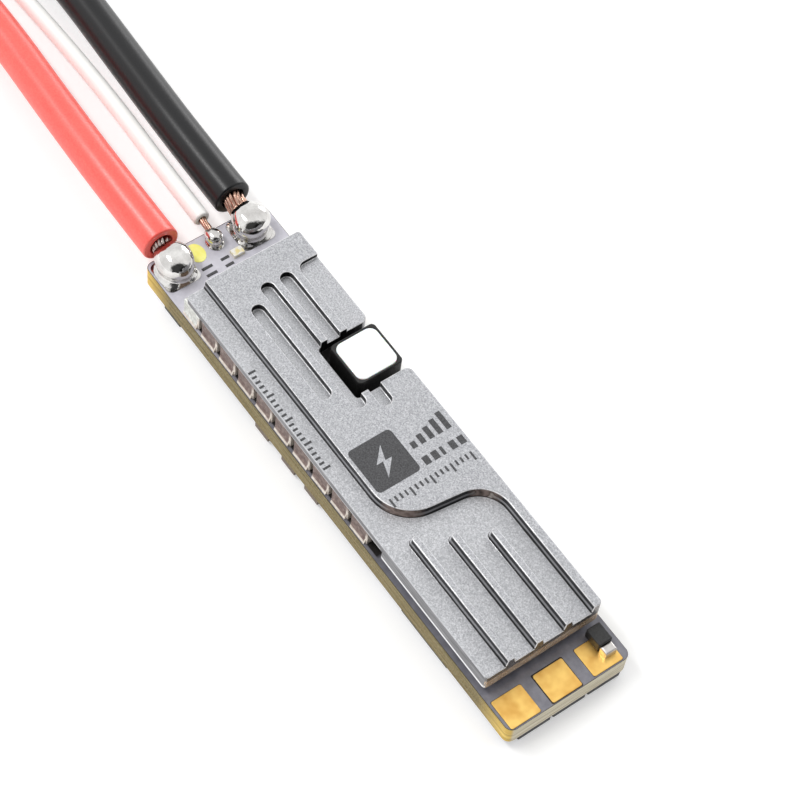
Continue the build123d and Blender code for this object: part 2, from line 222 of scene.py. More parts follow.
def add_piece(name, mesh, slot_name, *replaced):
    """An object that rides on the part's one body and stands for the CAD nodes given."""
    piece = bpy.data.objects.new(name, mesh)
    collection.objects.link(piece)
    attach(piece, "root")
    if replaced:
        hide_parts(*replaced)
    return piece


def add_lead(key, name, route, diameter, core, slot_name):
    """Insulation as a cord along the route's line, with its cut ends hollowed round the core."""
    line = nurbs_line(route)
    radius = diameter / 2 * MM
    mouth = core / 2 * MM
    cut = [(RECESS, mouth), (0.0, mouth * RECESS_FLARE), *rounded_end(radius, LEAD_ROUND)]
    work = bmesh.new()
    add_tube(work, line, radius, LEAD_SIDES, cut)
    mesh = mesh_from(work, name)
    smooth(mesh, degrees=50)
    lead = add_piece(name, mesh, slot_name, key + "_lead")
    return lead


red_lead = add_lead("positive", "red_insulation", RED_ROUTE, POWER_D, POWER_CORE,
                    "red_silicone")
black_lead = add_lead("negative", "black_insulation", BLACK_ROUTE, POWER_D, POWER_CORE,
                      "black_silicone")
white_lead = add_lead("signal", "white_insulation", SIGNAL_ROUTE, SIGNAL_D, SIGNAL_CORE,
                      "white_silicone")


# ---- materials ----
class Nodes:
    """A node tree in the making, with short ways to add nodes and feed them."""

    def __init__(self, tree):
        self.tree = tree

    def node(self, kind, **properties):
        """A new node with the given properties."""
        made = self.tree.nodes.new(kind)
        for key, value in properties.items():
            setattr(made, key, value)
        return made

    def feed(self, target, value):
        """A plain value or another node's output on a socket."""
        if isinstance(value, bpy.types.NodeSocket):
            self.tree.links.new(value, target)
        else:
            target.default_value = value

    def math(self, operation, a, b=0.0, clamp=False):
        """One operation on one or two values."""
        made = self.node("ShaderNodeMath", operation=operation, use_clamp=clamp)
        self.feed(made.inputs[0], a)
        self.feed(made.inputs[1], b)
        return made.outputs[0]

    def mix(self, factor, a, b):
        """Colour a where the factor is 0 and colour b where it is 1."""
        made = self.node("ShaderNodeMix", data_type="RGBA")
        colour_a, colour_b, mixed = made.inputs[6], made.inputs[7], made.outputs[2]
        self.feed(made.inputs["Factor"], factor)
        for socket, value in ((colour_a, a), (colour_b, b)):
            if isinstance(value, tuple):
                value = (*value, 1.0)
            self.feed(socket, value)
        return mixed

    def ramp(self, factor, stops):
        """Colours or greys along a 0 to 1 factor."""
        made = self.node("ShaderNodeValToRGB")
        elements = made.color_ramp.elements
        while len(elements) < len(stops):
            elements.new(0.5)
        for element, (position, value) in zip(elements, stops):
            colour = value if isinstance(value, tuple) else (value, value, value)
            element.position = position
            element.color = (*colour, 1.0)
        self.feed(made.inputs["Fac"], factor)
        return made.outputs["Color"]


class Shader(Nodes):
    """The nodes of a material, which feed its principled shader."""

    def __init__(self, name, **sockets):
        self.material = bpy.data.materials.new(name)
        self.material.use_nodes = True
        super().__init__(self.material.node_tree)
        self.surface = self.tree.nodes["Principled BSDF"]
        for socket, value in sockets.items():
            self.set(socket.replace("_", " "), value)

    def set(self, socket, value):
        """A plain value or a node's output on one of the principled shader's sockets."""
        self.feed(self.surface.inputs[socket], value)

    def place(self, stretch=(1.0, 1.0, 1.0)):
        """The surface point in millimetres, each axis multiplied by its stretch."""
        coordinates = self.node("ShaderNodeTexCoord")
        scale = self.node("ShaderNodeVectorMath", operation="MULTIPLY")
        self.feed(scale.inputs[0], coordinates.outputs["Object"])
        self.feed(scale.inputs[1], [factor / MM for factor in stretch])
        return scale.outputs["Vector"]

    def noise(self, per_mm, detail=3.0, roughness=0.6, stretch=(1.0, 1.0, 1.0)):
        """Cloudy pattern between 0 and 1, finer for a higher count of features in a millimetre."""
        texture = self.node("ShaderNodeTexNoise")
        self.feed(texture.inputs["Vector"], self.place(stretch))
        self.feed(texture.inputs["Scale"], per_mm)
        self.feed(texture.inputs["Detail"], detail)
        self.feed(texture.inputs["Roughness"], roughness)
        return texture.outputs["Fac"]

    def axis(self, letter, what="place"):
        """One coordinate in millimetres, or one part of the surface's direction."""
        if what == "place":
            source = self.place()
        else:
            source = self.node("ShaderNodeNewGeometry").outputs["Normal"]
        split = self.node("ShaderNodeSeparateXYZ")
        self.feed(split.inputs[0], source)
        return split.outputs[letter]

    def band(self, value, start, end):
        """0 on the start's side and 1 on the end's side, with an even rise between them."""
        made = self.node("ShaderNodeMapRange", clamp=True)
        self.feed(made.inputs["Value"], value)
        self.feed(made.inputs["From Min"], start)
        self.feed(made.inputs["From Max"], end)
        return made.outputs["Result"]

    def bump(self, height, depth_mm):
        """Relief of the given depth."""
        made = self.node("ShaderNodeBump")
        self.feed(made.inputs["Strength"], 1.0)
        self.feed(made.inputs["Distance"], depth_mm * MM)
        self.feed(made.inputs["Height"], height)
        return made.outputs["Normal"]


def blasted_metal():
    """Bead-blasted aluminium: a fine even grain of small pits, with the lower plane painted a little paler
    against its shade.
    """
    look = Shader("blasted_aluminium", Metallic=1.0)
    grain = look.noise(9.5, 2.0, 0.75)
    patch = look.noise(0.35, 2.0)
    high = look.ramp(grain, [(0.30, (0.275, 0.28, 0.295)), (0.5, (0.435, 0.44, 0.46)),
                             (0.70, (0.64, 0.645, 0.665))])
    low = look.ramp(grain, [(0.30, (0.33, 0.335, 0.35)), (0.5, (0.495, 0.50, 0.52)),
                            (0.70, (0.705, 0.71, 0.73))])
    # Painted light: the lower plane takes the paler copy, to lift the shade it lies in.
    base = look.mix(look.band(look.axis("Z"), HIGH_TOP - 0.1, LOW_TOP + 0.1), high, low)
    even = look.math("MULTIPLY", look.band(patch, 0.3, 0.8), 0.25)
    look.set("Base Color", look.mix(even, base, (0.45, 0.455, 0.47)))
    look.set("Roughness", look.ramp(grain, [(0.3, 0.58), (0.7, 0.46)]))
    look.set("Normal", look.bump(grain, 0.022))
    return look.material


def edge_highlight():
    """Broken edges with a painted highlight where they face the capacitors' side, and painted shade at the
    foot of the walls.
    """
    look = Shader("edge_highlight", Metallic=0.45)
    wear_and_highlight = look.noise(3.0, 2.0)
    # Painted highlight: the bright copy goes on edges facing the capacitors' side; edges facing +Y or on
    # the outer -Y side stay grey.
    bright = look.ramp(wear_and_highlight, [(0.3, (0.58, 0.58, 0.59)), (0.7, (0.94, 0.94, 0.95))])
    no_highlight = look.band(look.axis("Y", "normal"), 0.1, 0.5)
    outer = look.band(look.axis("Y"), SINK_Y0 + 0.15, SINK_Y0 + 0.08)
    edge = look.mix(look.math("MAXIMUM", no_highlight, outer), bright, (0.47, 0.475, 0.49))
    # Painted shade: near black along the foot of the walls, just over the lower plane.
    foot = look.math("MULTIPLY", look.band(look.axis("Z"), LOW_TOP, LOW_TOP + 0.01),
                     look.band(look.axis("Z"), LOW_TOP + 0.13, LOW_TOP + 0.09))
    look.set("Base Color", look.mix(foot, edge, (0.03, 0.03, 0.032)))
    look.set("Roughness", look.ramp(wear_and_highlight, [(0.3, 0.4), (0.7, 0.25)]))
    return look.material


def cut_wall_metal():
    """Walls of the step and the ribs, all painted light and shade: dark with wavering bands, a warm
    reflection on the curves, a highlight where they face -X and a near-black foot.
    """
    look = Shader("cut_wall", Metallic=0.65)
    lines = look.noise(1.0, 2.0, 0.6, stretch=(0.25, 0.25, 2.0))
    waver = look.math("MULTIPLY", look.math("SUBTRACT", lines, 0.5), 0.22)
    up = look.math("ADD", look.band(look.axis("Z"), LOW_TOP, HIGH_TOP), waver)
    blotches = look.noise(0.9, 2.0)
    across = look.axis("X", "normal")
    curve = look.math("MULTIPLY", across, look.math("MULTIPLY", look.axis("Y", "normal"), -1.0))
    # Painted light and shade up the wall: pale across the lower middle and at the top, dark between and at
    # the foot.
    shade_bands = look.ramp(up, [(0.06, (0.006, 0.006, 0.007)), (0.22, (0.02, 0.02, 0.022)),
                           (0.34, (0.34, 0.34, 0.35)), (0.48, (0.30, 0.30, 0.31)),
                           (0.58, (0.02, 0.02, 0.022)), (0.90, (0.03, 0.03, 0.033)),
                           (0.97, (0.16, 0.16, 0.165))])
    # Painted reflection: warm blotches on the curved walls that face +X and -Y.
    warm = look.ramp(blotches, [(0.32, (0.13, 0.10, 0.09)), (0.46, (0.44, 0.34, 0.30)),
                                (0.56, (0.20, 0.15, 0.13)), (0.68, (0.75, 0.68, 0.62))])
    colour = look.mix(look.band(curve, 0.22, 0.45), shade_bands, warm)
    # Painted highlight: near white where the wall faces -X.
    colour = look.mix(look.band(across, -0.25, -0.75), colour, (0.92, 0.92, 0.93))
    # Painted shade: near black at the very foot of the wall.
    look.set("Base Color", look.mix(look.band(up, 0.12, 0.0), colour, (0.012, 0.012, 0.013)))
    look.set("Roughness", look.ramp(blotches, [(0.3, 0.45), (0.7, 0.28)]))
    look.set("Normal", look.bump(up, 0.03))
    return look.material


def slot_wall_metal():
    """Walls of the narrow slots: painted dark as shade, with faint upright marks and a painted highlight on
    the far end.
    """
    look = Shader("slot_wall", Metallic=0.7, Specular_IOR_Level=0.1)
    marks = look.noise(1.0, 2.0, 0.6, stretch=(4.0, 4.0, 0.6))
    # Painted shade: the slot walls are the sink's own metal, painted near black.
    dark = look.ramp(marks, [(0.3, (0.004, 0.004, 0.005)), (0.7, (0.03, 0.03, 0.033))])
    # Painted highlight: pale where the wall faces -X, at the slots' far ends.
    far_end_highlight = look.band(look.axis("X", "normal"), -0.3, -0.85)
    look.set("Base Color", look.mix(far_end_highlight, dark, (0.70, 0.70, 0.71)))
    look.set("Roughness", look.ramp(marks, [(0.3, 0.5), (0.7, 0.38)]))
    return look.material


def side_metal():
    """Outer sides: brushed along, painted darker than the top as shade, with a painted highlight line at
    the lower edge.
    """
    look = Shader("sink_side", Metallic=1.0)
    marks = look.noise(1.0, 3.0, 0.6, stretch=(0.5, 0.5, 7.0))
    height = look.axis("Z")
    # Painted shade: a darker copy of the sink's metal for its outer sides.
    brushed = look.ramp(marks, [(0.3, (0.13, 0.13, 0.14)), (0.7, (0.31, 0.31, 0.325))])
    on_block = look.band(look.axis("X"), BLOCK_X0 - 0.05, BLOCK_X0 + 0.05)
    on_plate = look.math("SUBTRACT", 0.45, on_block, clamp=True)
    # Painted highlight: a pale, non-metallic line at the foot of the block's side and, fainter, of the
    # plate's.
    block_foot = look.band(height, BLOCK_BOTTOM + 0.34, BLOCK_BOTTOM + 0.26)
    plate_foot = look.band(height, PLATE_BOTTOM + 0.10, PLATE_BOTTOM + 0.06)
    block_highlight = look.math("MULTIPLY", block_foot, on_block)
    plate_highlight = look.math("MULTIPLY", plate_foot, on_plate)
    line = look.math("MAXIMUM", block_highlight, plate_highlight)
    look.set("Metallic", look.math("SUBTRACT", 1.0, line))
    look.set("Base Color", look.mix(line, brushed, (0.88, 0.88, 0.89)))
    look.set("Roughness", look.ramp(marks, [(0.3, 0.42), (0.7, 0.3)]))
    look.set("Normal", look.bump(marks, 0.01))
    return look.material


def end_metal():
    """End face over the motor pads: polished by the saw, with a painted warm reflection of the gold pads on
    its lower part, and darker above.
    """
    look = Shader("sink_end", Metallic=0.6)
    marks = look.noise(1.6, 3.0, 0.5)
    # Painted reflection: warm gold low on the face, over the pads; darker from just under the lower plane's
    # height up.
    low = look.ramp(marks, [(0.32, (0.66, 0.47, 0.30)), (0.5, (0.80, 0.61, 0.42)),
                            (0.68, (0.92, 0.76, 0.58))])
    high = look.ramp(marks, [(0.3, (0.09, 0.085, 0.08)), (0.7, (0.24, 0.22, 0.21))])
    look.set("Base Color", look.mix(look.band(look.axis("Z"), LOW_TOP - 0.70, LOW_TOP - 0.45), low, high))
    look.set("Roughness", look.ramp(marks, [(0.3, 0.3), (0.7, 0.2)]))
    look.set("Normal", look.bump(marks, 0.015))
    return look.material


def mask_colour(look):
    """Grey-lilac lacquer with painted shade: darker away from the battery end, and near black in the gap
    under the thin plate.
    """
    relief = look.noise(1.4, 3.0)
    deep = look.ramp(relief, [(0.3, (0.15, 0.148, 0.175)), (0.7, (0.22, 0.216, 0.245))])
    pale = look.ramp(relief, [(0.3, (0.52, 0.51, 0.57)), (0.7, (0.64, 0.63, 0.69))])
    # Painted shade: the darker copy from X -10 towards the motor end, the paler one past X -18 at the
    # battery end.
    colour = look.mix(look.band(look.axis("X"), -10.0, -18.0), deep, pale)
    # Painted shade: near black where the mask lies in the gap under the thin plate.
    from_start = look.band(look.axis("X"), -17.0, -16.6)
    to_block = look.band(look.axis("X"), BLOCK_X0 - 0.1, BLOCK_X0 - 0.4)
    inside = look.band(look.axis("Y"), -4.97, -4.90)
    under = look.math("MULTIPLY", look.math("MULTIPLY", inside, from_start), to_block)
    return look.mix(under, colour, (0.016, 0.014, 0.013))


COPPER_LINES = (0.30, 0.98)        # heights of the inner copper over the board's underside


def laminate():
    """Glass-fibre board: layered olive edge, bare and dark on top, solder mask underneath."""
    look = Shader("laminate", Specular_IOR_Level=0.25)
    height = look.axis("Z")
    layers = look.noise(1.0, 4.0, 0.65, stretch=(0.25, 0.25, 6.0))
    fibres = look.noise(9.0, 2.0, 0.6, stretch=(1.0, 1.0, 0.5))
    edge = look.ramp(layers, [(0.3, (0.10, 0.074, 0.02)), (0.5, (0.185, 0.142, 0.052)),
                              (0.7, (0.27, 0.218, 0.10))])
    edge = look.mix(look.math("MULTIPLY", look.band(fibres, 0.45, 0.7), 0.35), edge, (0.46, 0.42, 0.24))
    end_face = look.band(look.axis("X", "normal"), 0.6, 0.9)
    cream = look.ramp(layers, [(0.3, (0.52, 0.46, 0.32)), (0.7, (0.80, 0.74, 0.58))])
    edge = look.mix(end_face, edge, cream)
    near_corner = look.band(look.math("ABSOLUTE", look.axis("X")), 18.8, 21.8)
    golden = look.ramp(layers, [(0.3, (0.55, 0.34, 0.04)), (0.7, (0.90, 0.66, 0.18))])
    near_side = look.band(look.axis("Y", "normal"), -0.25, -0.6)
    edge = look.mix(look.math("MULTIPLY", near_corner, near_side), edge, golden)
    for line_z in COPPER_LINES:
        near_line = look.math("ABSOLUTE", look.math("SUBTRACT", height, BOARD_Z0 + line_z))
        line = look.math("SUBTRACT", 1.0, look.band(near_line, 0.025, 0.05))
        edge = look.mix(look.math("MULTIPLY", line, 0.55), edge, (0.30, 0.17, 0.06))
    level = look.axis("Z", "normal")
    flat = look.band(look.math("ABSOLUTE", level), 0.6, 0.9)
    bare = look.ramp(fibres, [(0.3, (0.035, 0.030, 0.026)), (0.7, (0.075, 0.062, 0.05))])
    faces = look.mix(look.band(level, -0.5, 0.5), mask_colour(look), bare)
    look.set("Base Color", look.mix(flat, edge, faces))
    look.set("Roughness", look.ramp(layers, [(0.3, 0.62), (0.7, 0.5)]))
    look.set("Normal", look.bump(fibres, 0.012))
    return look.material


def solder_mask():
    """Lacquer over the copper: grey-lilac with painted shade, slightly uneven and glossy."""
    look = Shader("solder_mask", Coat_Weight=0.5, Coat_Roughness=0.15)
    look.set("Base Color", mask_colour(look))
    look.set("Roughness", look.ramp(look.noise(8.0), [(0.3, 0.42), (0.7, 0.3)]))
    look.set("Normal", look.bump(look.noise(1.4, 3.0), 0.02))
    return look.material


def gold():
    """Immersion gold over rolled copper: fine grain and slow waves."""
    look = Shader("gold_plate", Metallic=1.0)
    waves = look.noise(0.7, 2.0)
    grain = look.noise(11.0, 2.0)
    look.set("Base Color", look.ramp(waves, [(0.35, (0.76, 0.43, 0.11)), (0.65, (0.95, 0.63, 0.19))]))
    look.set("Roughness", look.ramp(grain, [(0.3, 0.42), (0.7, 0.3)]))
    look.set("Normal", look.bump(grain, 0.006))
    return look.material


def yellow_pad():
    """A bare pad flooded with bright flux-yellow lacquer."""
    look = Shader("yellow_pad", Coat_Weight=0.4)
    waves = look.noise(1.6, 2.0)
    look.set("Base Color", look.ramp(waves, [(0.3, (0.95, 0.90, 0.16)), (0.7, (0.99, 0.97, 0.32))]))
    look.set("Roughness", look.ramp(waves, [(0.3, 0.35), (0.7, 0.25)]))
    return look.material


def bright_solder(name, dark, light, gloss, frost):
    """Fresh solder: mirror-like, with a faint frosting and thin wrinkles."""
    look = Shader(name, Metallic=1.0)
    ripple = look.noise(1.1, 3.0, 0.55)
    look.set("Base Color", look.ramp(ripple, [(0.3, dark), (0.7, light)]))
    look.set("Roughness", look.ramp(look.noise(5.0), [(0.35, gloss), (0.7, frost)]))
    look.set("Normal", look.bump(ripple, 0.05))
    return look.material


def tinned_end():
    """Tin-plated capacitor ends and their fillets: a painted warm reflection on all ends but the first,
    which stays silvery, with a brighter foot and corner.
    """
    look = Shader("tinned_end", Metallic=1.0)
    height = look.axis("Z")
    uneven = look.noise(3.0, 3.0)
    # Painted reflection: this warm copy goes on all ends but the first, which keeps the silvery one.
    warm = look.ramp(uneven, [(0.3, (0.15, 0.105, 0.095)), (0.5, (0.22, 0.165, 0.15)),
                              (0.7, (0.33, 0.26, 0.235))])
    silvery = look.ramp(uneven, [(0.3, (0.46, 0.47, 0.44)), (0.7, (0.85, 0.86, 0.83))])
    foot = look.ramp(uneven, [(0.3, (0.60, 0.52, 0.45)), (0.7, (0.90, 0.84, 0.76))])
    body = look.mix(look.band(look.axis("X"), -15.3, -15.4), warm, silvery)
    from_first = look.math("SUBTRACT", look.axis("X"), CAP_X0 - CAP_PITCH / 2)
    along = look.math("FLOORED_MODULO", from_first, CAP_PITCH)
    corner = look.band(along, CAP_PITCH / 2 + 0.70, CAP_PITCH / 2 + 0.80)
    rim = look.math("MULTIPLY", corner, look.band(height, BOARD_TOP + 1.5, BOARD_TOP + 0.9))
    rim = look.math("MAXIMUM", rim, look.band(height, BOARD_TOP + 0.34, BOARD_TOP + 0.22))
    look.set("Metallic", look.math("SUBTRACT", 1.0, look.math("MULTIPLY", rim, 0.7)))
    look.set("Base Color", look.mix(rim, body, foot))
    look.set("Roughness", look.ramp(look.noise(7.0), [(0.3, 0.52), (0.7, 0.42)]))
    look.set("Normal", look.bump(uneven, 0.006))
    return look.material


def ceramic():
    """Fired capacitor ceramic."""
    look = Shader("fired_ceramic")
    grain = look.noise(6.0, 3.0)
    look.set("Base Color", look.ramp(grain, [(0.3, (0.10, 0.07, 0.05)), (0.7, (0.19, 0.135, 0.095))]))
    look.set("Roughness", look.ramp(grain, [(0.3, 0.55), (0.7, 0.42)]))
    look.set("Normal", look.bump(grain, 0.01))
    return look.material


def alumina():
    """White resistor body with a yellowish flux stain."""
    look = Shader("alumina")
    stain = look.noise(2.2, 2.0)
    look.set("Base Color", look.ramp(stain, [(0.4, (0.86, 0.85, 0.80)), (0.62, (0.80, 0.68, 0.30))]))
    look.set("Roughness", look.ramp(stain, [(0.3, 0.5), (0.7, 0.35)]))
    return look.material


def moulded_epoxy(name="moulded_epoxy", dark=0.010, light=0.026):
    """Black moulded package, finely textured."""
    look = Shader(name)
    grain = look.noise(9.0, 3.0)
    look.set("Base Color", look.ramp(grain, [(0.3, dark), (0.7, light)]))
    look.set("Roughness", look.ramp(grain, [(0.3, 0.6), (0.7, 0.45)]))
    look.set("Normal", look.bump(grain, 0.012))
    return look.material


def milky_lens():
    """Diffusing white face of the status light."""
    look = Shader("milky_lens", Subsurface_Weight=0.25, Subsurface_Scale=0.6 * MM, Coat_Weight=0.3)
    cloud = look.noise(0.8, 2.0)
    look.set("Base Color", look.ramp(cloud, [(0.3, (0.93, 0.93, 0.90)), (0.7, (0.98, 0.98, 0.96))]))
    look.set("Roughness", look.ramp(cloud, [(0.3, 0.4), (0.7, 0.28)]))
    return look.material


def silicone(name, dark, light, roughness, shine):
    """Soft silicone insulation: satin, lightly dusted, with faint extrusion lines along the wire."""
    look = Shader(name, Specular_IOR_Level=shine)
    lines = look.noise(1.0, 2.0, 0.5, stretch=(0.05, 2.0, 2.0))
    dust = look.noise(6.0, 3.0, 0.7)
    tone = look.mix(0.7, lines, dust)
    look.set("Base Color", look.ramp(tone, [(0.35, dark), (0.65, light)]))
    look.set("Roughness", look.ramp(dust, [(0.3, roughness + 0.05), (0.7, roughness - 0.03)]))
    look.set("Normal", look.bump(tone, 0.008))
    return look.material


def wire_metal(name, dark, light):
    """Drawn wire: bright, with streaks along X."""
    look = Shader(name, Metallic=1.0)
    streaks = look.noise(1.0, 3.0, 0.6, stretch=(0.6, 9.0, 9.0))
    look.set("Base Color", look.ramp(streaks, [(0.3, dark), (0.7, light)]))
    look.set("Roughness", look.ramp(streaks, [(0.3, 0.3), (0.7, 0.18)]))
    return look.material


def print_ink():
    """Dark matt print, as on the metal and on the mask."""
    look = Shader("laser_print")
    grain = look.noise(9.0, 2.0, 0.7)
    look.set("Base Color", look.ramp(grain, [(0.3, (0.030, 0.030, 0.032)), (0.7, (0.085, 0.085, 0.09))]))
    look.set("Roughness", look.ramp(grain, [(0.3, 0.7), (0.7, 0.55)]))
    look.set("Normal", look.bump(grain, 0.008))
    return look.material


def soft_pad():
    """Grey thermal silicone."""
    look = Shader("thermal_silicone")
    grain = look.noise(5.0, 3.0)
    look.set("Base Color", look.ramp(grain, [(0.3, (0.25, 0.27, 0.31)), (0.7, (0.33, 0.35, 0.39))]))
    look.set("Roughness", look.ramp(grain, [(0.3, 0.7), (0.7, 0.6)]))
    return look.material


TOP_METAL = blasted_metal()
CUT_WALL = cut_wall_metal()
SLOT_WALL = slot_wall_metal()
EDGE_HIGHLIGHT = edge_highlight()
SIDE_METAL = side_metal()
END_METAL = end_metal()
LAMINATE = laminate()
MASK = solder_mask()
GOLD = gold()
YELLOW = yellow_pad()
SOLDER = bright_solder("bright_solder", (0.56, 0.545, 0.53), (0.80, 0.79, 0.77), 0.05, 0.14)
SATIN_TIN = bright_solder("satin_tin", (0.48, 0.45, 0.43), (0.70, 0.68, 0.66), 0.32, 0.42)
TIN = tinned_end()
CERAMIC = ceramic()
ALUMINA = alumina()
EPOXY = moulded_epoxy()
HOUSING = moulded_epoxy("led_housing_plastic", 0.004, 0.009)
LENS = milky_lens()
RED = silicone("red_silicone_skin", (0.86, 0.070, 0.050), (0.95, 0.125, 0.095), 0.34, 0.9)
BLACK = silicone("black_silicone_skin", (0.004, 0.004, 0.005), (0.008, 0.008, 0.009), 0.31, 0.38)
WHITE = silicone("white_silicone_skin", (0.93, 0.91, 0.88), (0.98, 0.97, 0.95), 0.36, 0.4)
COPPER = wire_metal("copper_wire", (0.24, 0.13, 0.09), (0.66, 0.44, 0.35))
TINNED = wire_metal("tinned_wire", (0.20, 0.16, 0.15), (0.52, 0.45, 0.42))
INK = print_ink()
THERMAL = soft_pad()

red_lead.data.materials.append(RED)
black_lead.data.materials.append(BLACK)
white_lead.data.materials.append(WHITE)


def paint(node, material):
    """Puts a material on a CAD node that stays as it is."""
    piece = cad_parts[node]
    piece.data.materials.clear()
    piece.data.materials.append(material)


# ---- pieces made from meshes ----
MERGE = 0.01 * MM                  # points nearer than this become one
SINK_MERGE = 0.045 * MM            # the same on the heat sink, whose short facets would fold when broken
FLAT_ANGLE = math.radians(0.5)     # faces that meet at less than this become one
EDGE_ANGLE = math.radians(40)      # edges sharper than this are broken


def softened(node, name, slot_name, finishes, width, segments=2, choose=None, edge_index=-1, merge=MERGE):
    """The CAD node's own shape with its edges broken, as a piece that stands for it.

    choose gives the number of each face's finish, and edge_index is the number of the broken edges' own.
    """
    work = bmesh.new()
    work.from_mesh(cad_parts[node].data)
    bmesh.ops.remove_doubles(work, verts=work.verts, dist=merge)
    bmesh.ops.dissolve_limit(work, angle_limit=FLAT_ANGLE, verts=work.verts, edges=work.edges,
                             delimit={"NORMAL"})
    for face in work.faces:
        face.material_index = choose(face) if choose else 0
    mesh = bpy.data.meshes.new(name)
    work.to_mesh(mesh)
    work.free()
    for material in finishes:
        mesh.materials.append(material)
    piece = add_piece(name, mesh, slot_name, node)
    bevel = piece.modifiers.new("edges", "BEVEL")
    bevel.width = width * MM
    bevel.segments = segments
    bevel.limit_method = "ANGLE"
    bevel.angle_limit = EDGE_ANGLE
    bevel.use_clamp_overlap = False
    bevel.material = edge_index
    flatten = piece.modifiers.new("flat_faces", "WEIGHTED_NORMAL")
    flatten.mode = "FACE_AREA"
    flatten.weight = 100
    flatten.keep_sharp = True
    smooth(mesh)
    return piece


# Numbers of the heat sink's finishes, in the order of SINK_FINISHES.
TOP, CUT, SLOT, SIDE, END, EDGE = range(6)
SINK_FINISHES = [TOP_METAL, CUT_WALL, SLOT_WALL, SIDE_METAL, END_METAL, EDGE_HIGHLIGHT]
FACING = 0.7                       # how squarely a face has to face a way to count for it
NEAR_EDGE = 0.2                    # how near the outline the outer sides' middles are
SLOTS_Y0 = -2.6                    # the slots lie past this, and the step's long wall before it


def sink_face(face):
    """Number of the finish of a face of the heat sink."""
    if abs(face.normal.z) > FACING:
        return TOP
    centre = face.calc_center_median() / MM
    at_end = centre.x > SINK_X1 - NEAR_EDGE
    at_edge = (at_end or centre.x < SINK_X0 + NEAR_EDGE
               or centre.y < SINK_Y0 + NEAR_EDGE or centre.y > SINK_Y1 - NEAR_EDGE)
    if at_end and face.normal.x > FACING:
        return END
    if at_edge or centre.z < LOW_TOP:
        return SIDE
    if centre.x < 0 and centre.y > SLOTS_Y0:
        return SLOT
    return CUT


softened("heat_sink", "heat_sink_milled", "heat_sink", SINK_FINISHES, 0.05,
         choose=sink_face, edge_index=EDGE, merge=SINK_MERGE)
softened("capacitor_ends", "capacitor_caps", "tin", [TIN], 0.05)
softened("led_housing", "light_housing", "led_housing", [HOUSING], 0.06)
softened("led_lens", "light_lens", "led_lens", [LENS], 0.07, segments=3)
softened("corner_diode", "suppressor_body", "package", [EPOXY], 0.07)
softened("corner_diode_terminal", "suppressor_terminal", "tin", [SATIN_TIN], 0.02)
for node in ("end_transistors", "mid_transistors", "surge_suppressor", "microcontroller", "gate_driver",
             "voltage_regulator", "power_inductor", "current_shunt"):
    softened(node, node + "_moulded", "package", [EPOXY], 0.05)
for node in ("motor_pad_a", "motor_pad_b", "motor_pad_c"):
    softened(node, node + "_plated", "gold_pad", [GOLD], 0.02)

for node, material in {
    "circuit_board": LAMINATE, "thermal_pad": THERMAL, "top_transistors": EPOXY, "logic_chips": EPOXY,
    "small_resistors": EPOXY, "signal_resistors": ALUMINA, "filter_capacitors": CERAMIC,
    "edge_capacitors": CERAMIC, "capacitor_bodies": CERAMIC, "capacitor_fillets": TIN,
    "battery_pads": SOLDER, "signal_pad": SOLDER, "telemetry_pad": YELLOW,
    "positive_lead_tip": TINNED, "negative_lead_tip": TINNED, "signal_lead_tip": TINNED,
}.items():
    paint(node, material)


STRAND_SIDES = 10
STRAND_STEPS = 14
STRAND_ROUND = 0.03 * MM           # rounding of a strand's ends
STRAND_INSET = 0.25                # how far inside the insulation the strands begin
STRAND_TWIST = 1.5                 # turn of the bundle from one end to the other, in radians
STRAND_WAVER = 0.25                # how far a strand strays from that even turn, in radians
STRAND_WAVES = 5                   # and how fast that goes on along it
STRAND_UNEVEN = 0.35               # random part of the gap between two strands
STRAND_FAN = 0.22                  # how much wider the bundle is at the joint


def add_strands(key, name, material, route, joint, core, wire, rows, droop):
    """Bundle of twisted strands from the cut insulation into the solder joint."""
    start = mm(*route[0]) + mm(-STRAND_INSET, 0, 0)
    end = mm(joint[0], joint[1], route[0][2] - droop)
    ends = rounded_end(wire / 2 * MM, STRAND_ROUND)
    work = bmesh.new()
    for count, row in rows:
        for k in range(count):
            phase = math.tau * (k + STRAND_UNEVEN * random.random()) / count
            points = []
            for i in range(STRAND_STEPS + 1):
                t = i / STRAND_STEPS
                spread = row * (core - wire) / 2 * (1 + STRAND_FAN * t * t) * MM
                turn = phase + STRAND_TWIST * t + STRAND_WAVER * math.sin(STRAND_WAVES * t + phase)
                sag = (start.z - end.z) * (t * t * (3 - 2 * t))
                points.append(Vector((start.x + (end.x - start.x) * t,
                                      start.y + (end.y - start.y) * t + spread * math.cos(turn),
                                      start.z - sag + spread * math.sin(turn))))
            add_tube(work, points, wire / 2 * MM, STRAND_SIDES, ends)
    mesh = mesh_from(work, name)
    mesh.materials.append(material)
    smooth(mesh, degrees=60)
    add_piece(name, mesh, "tinned_wire", key + "_strands")


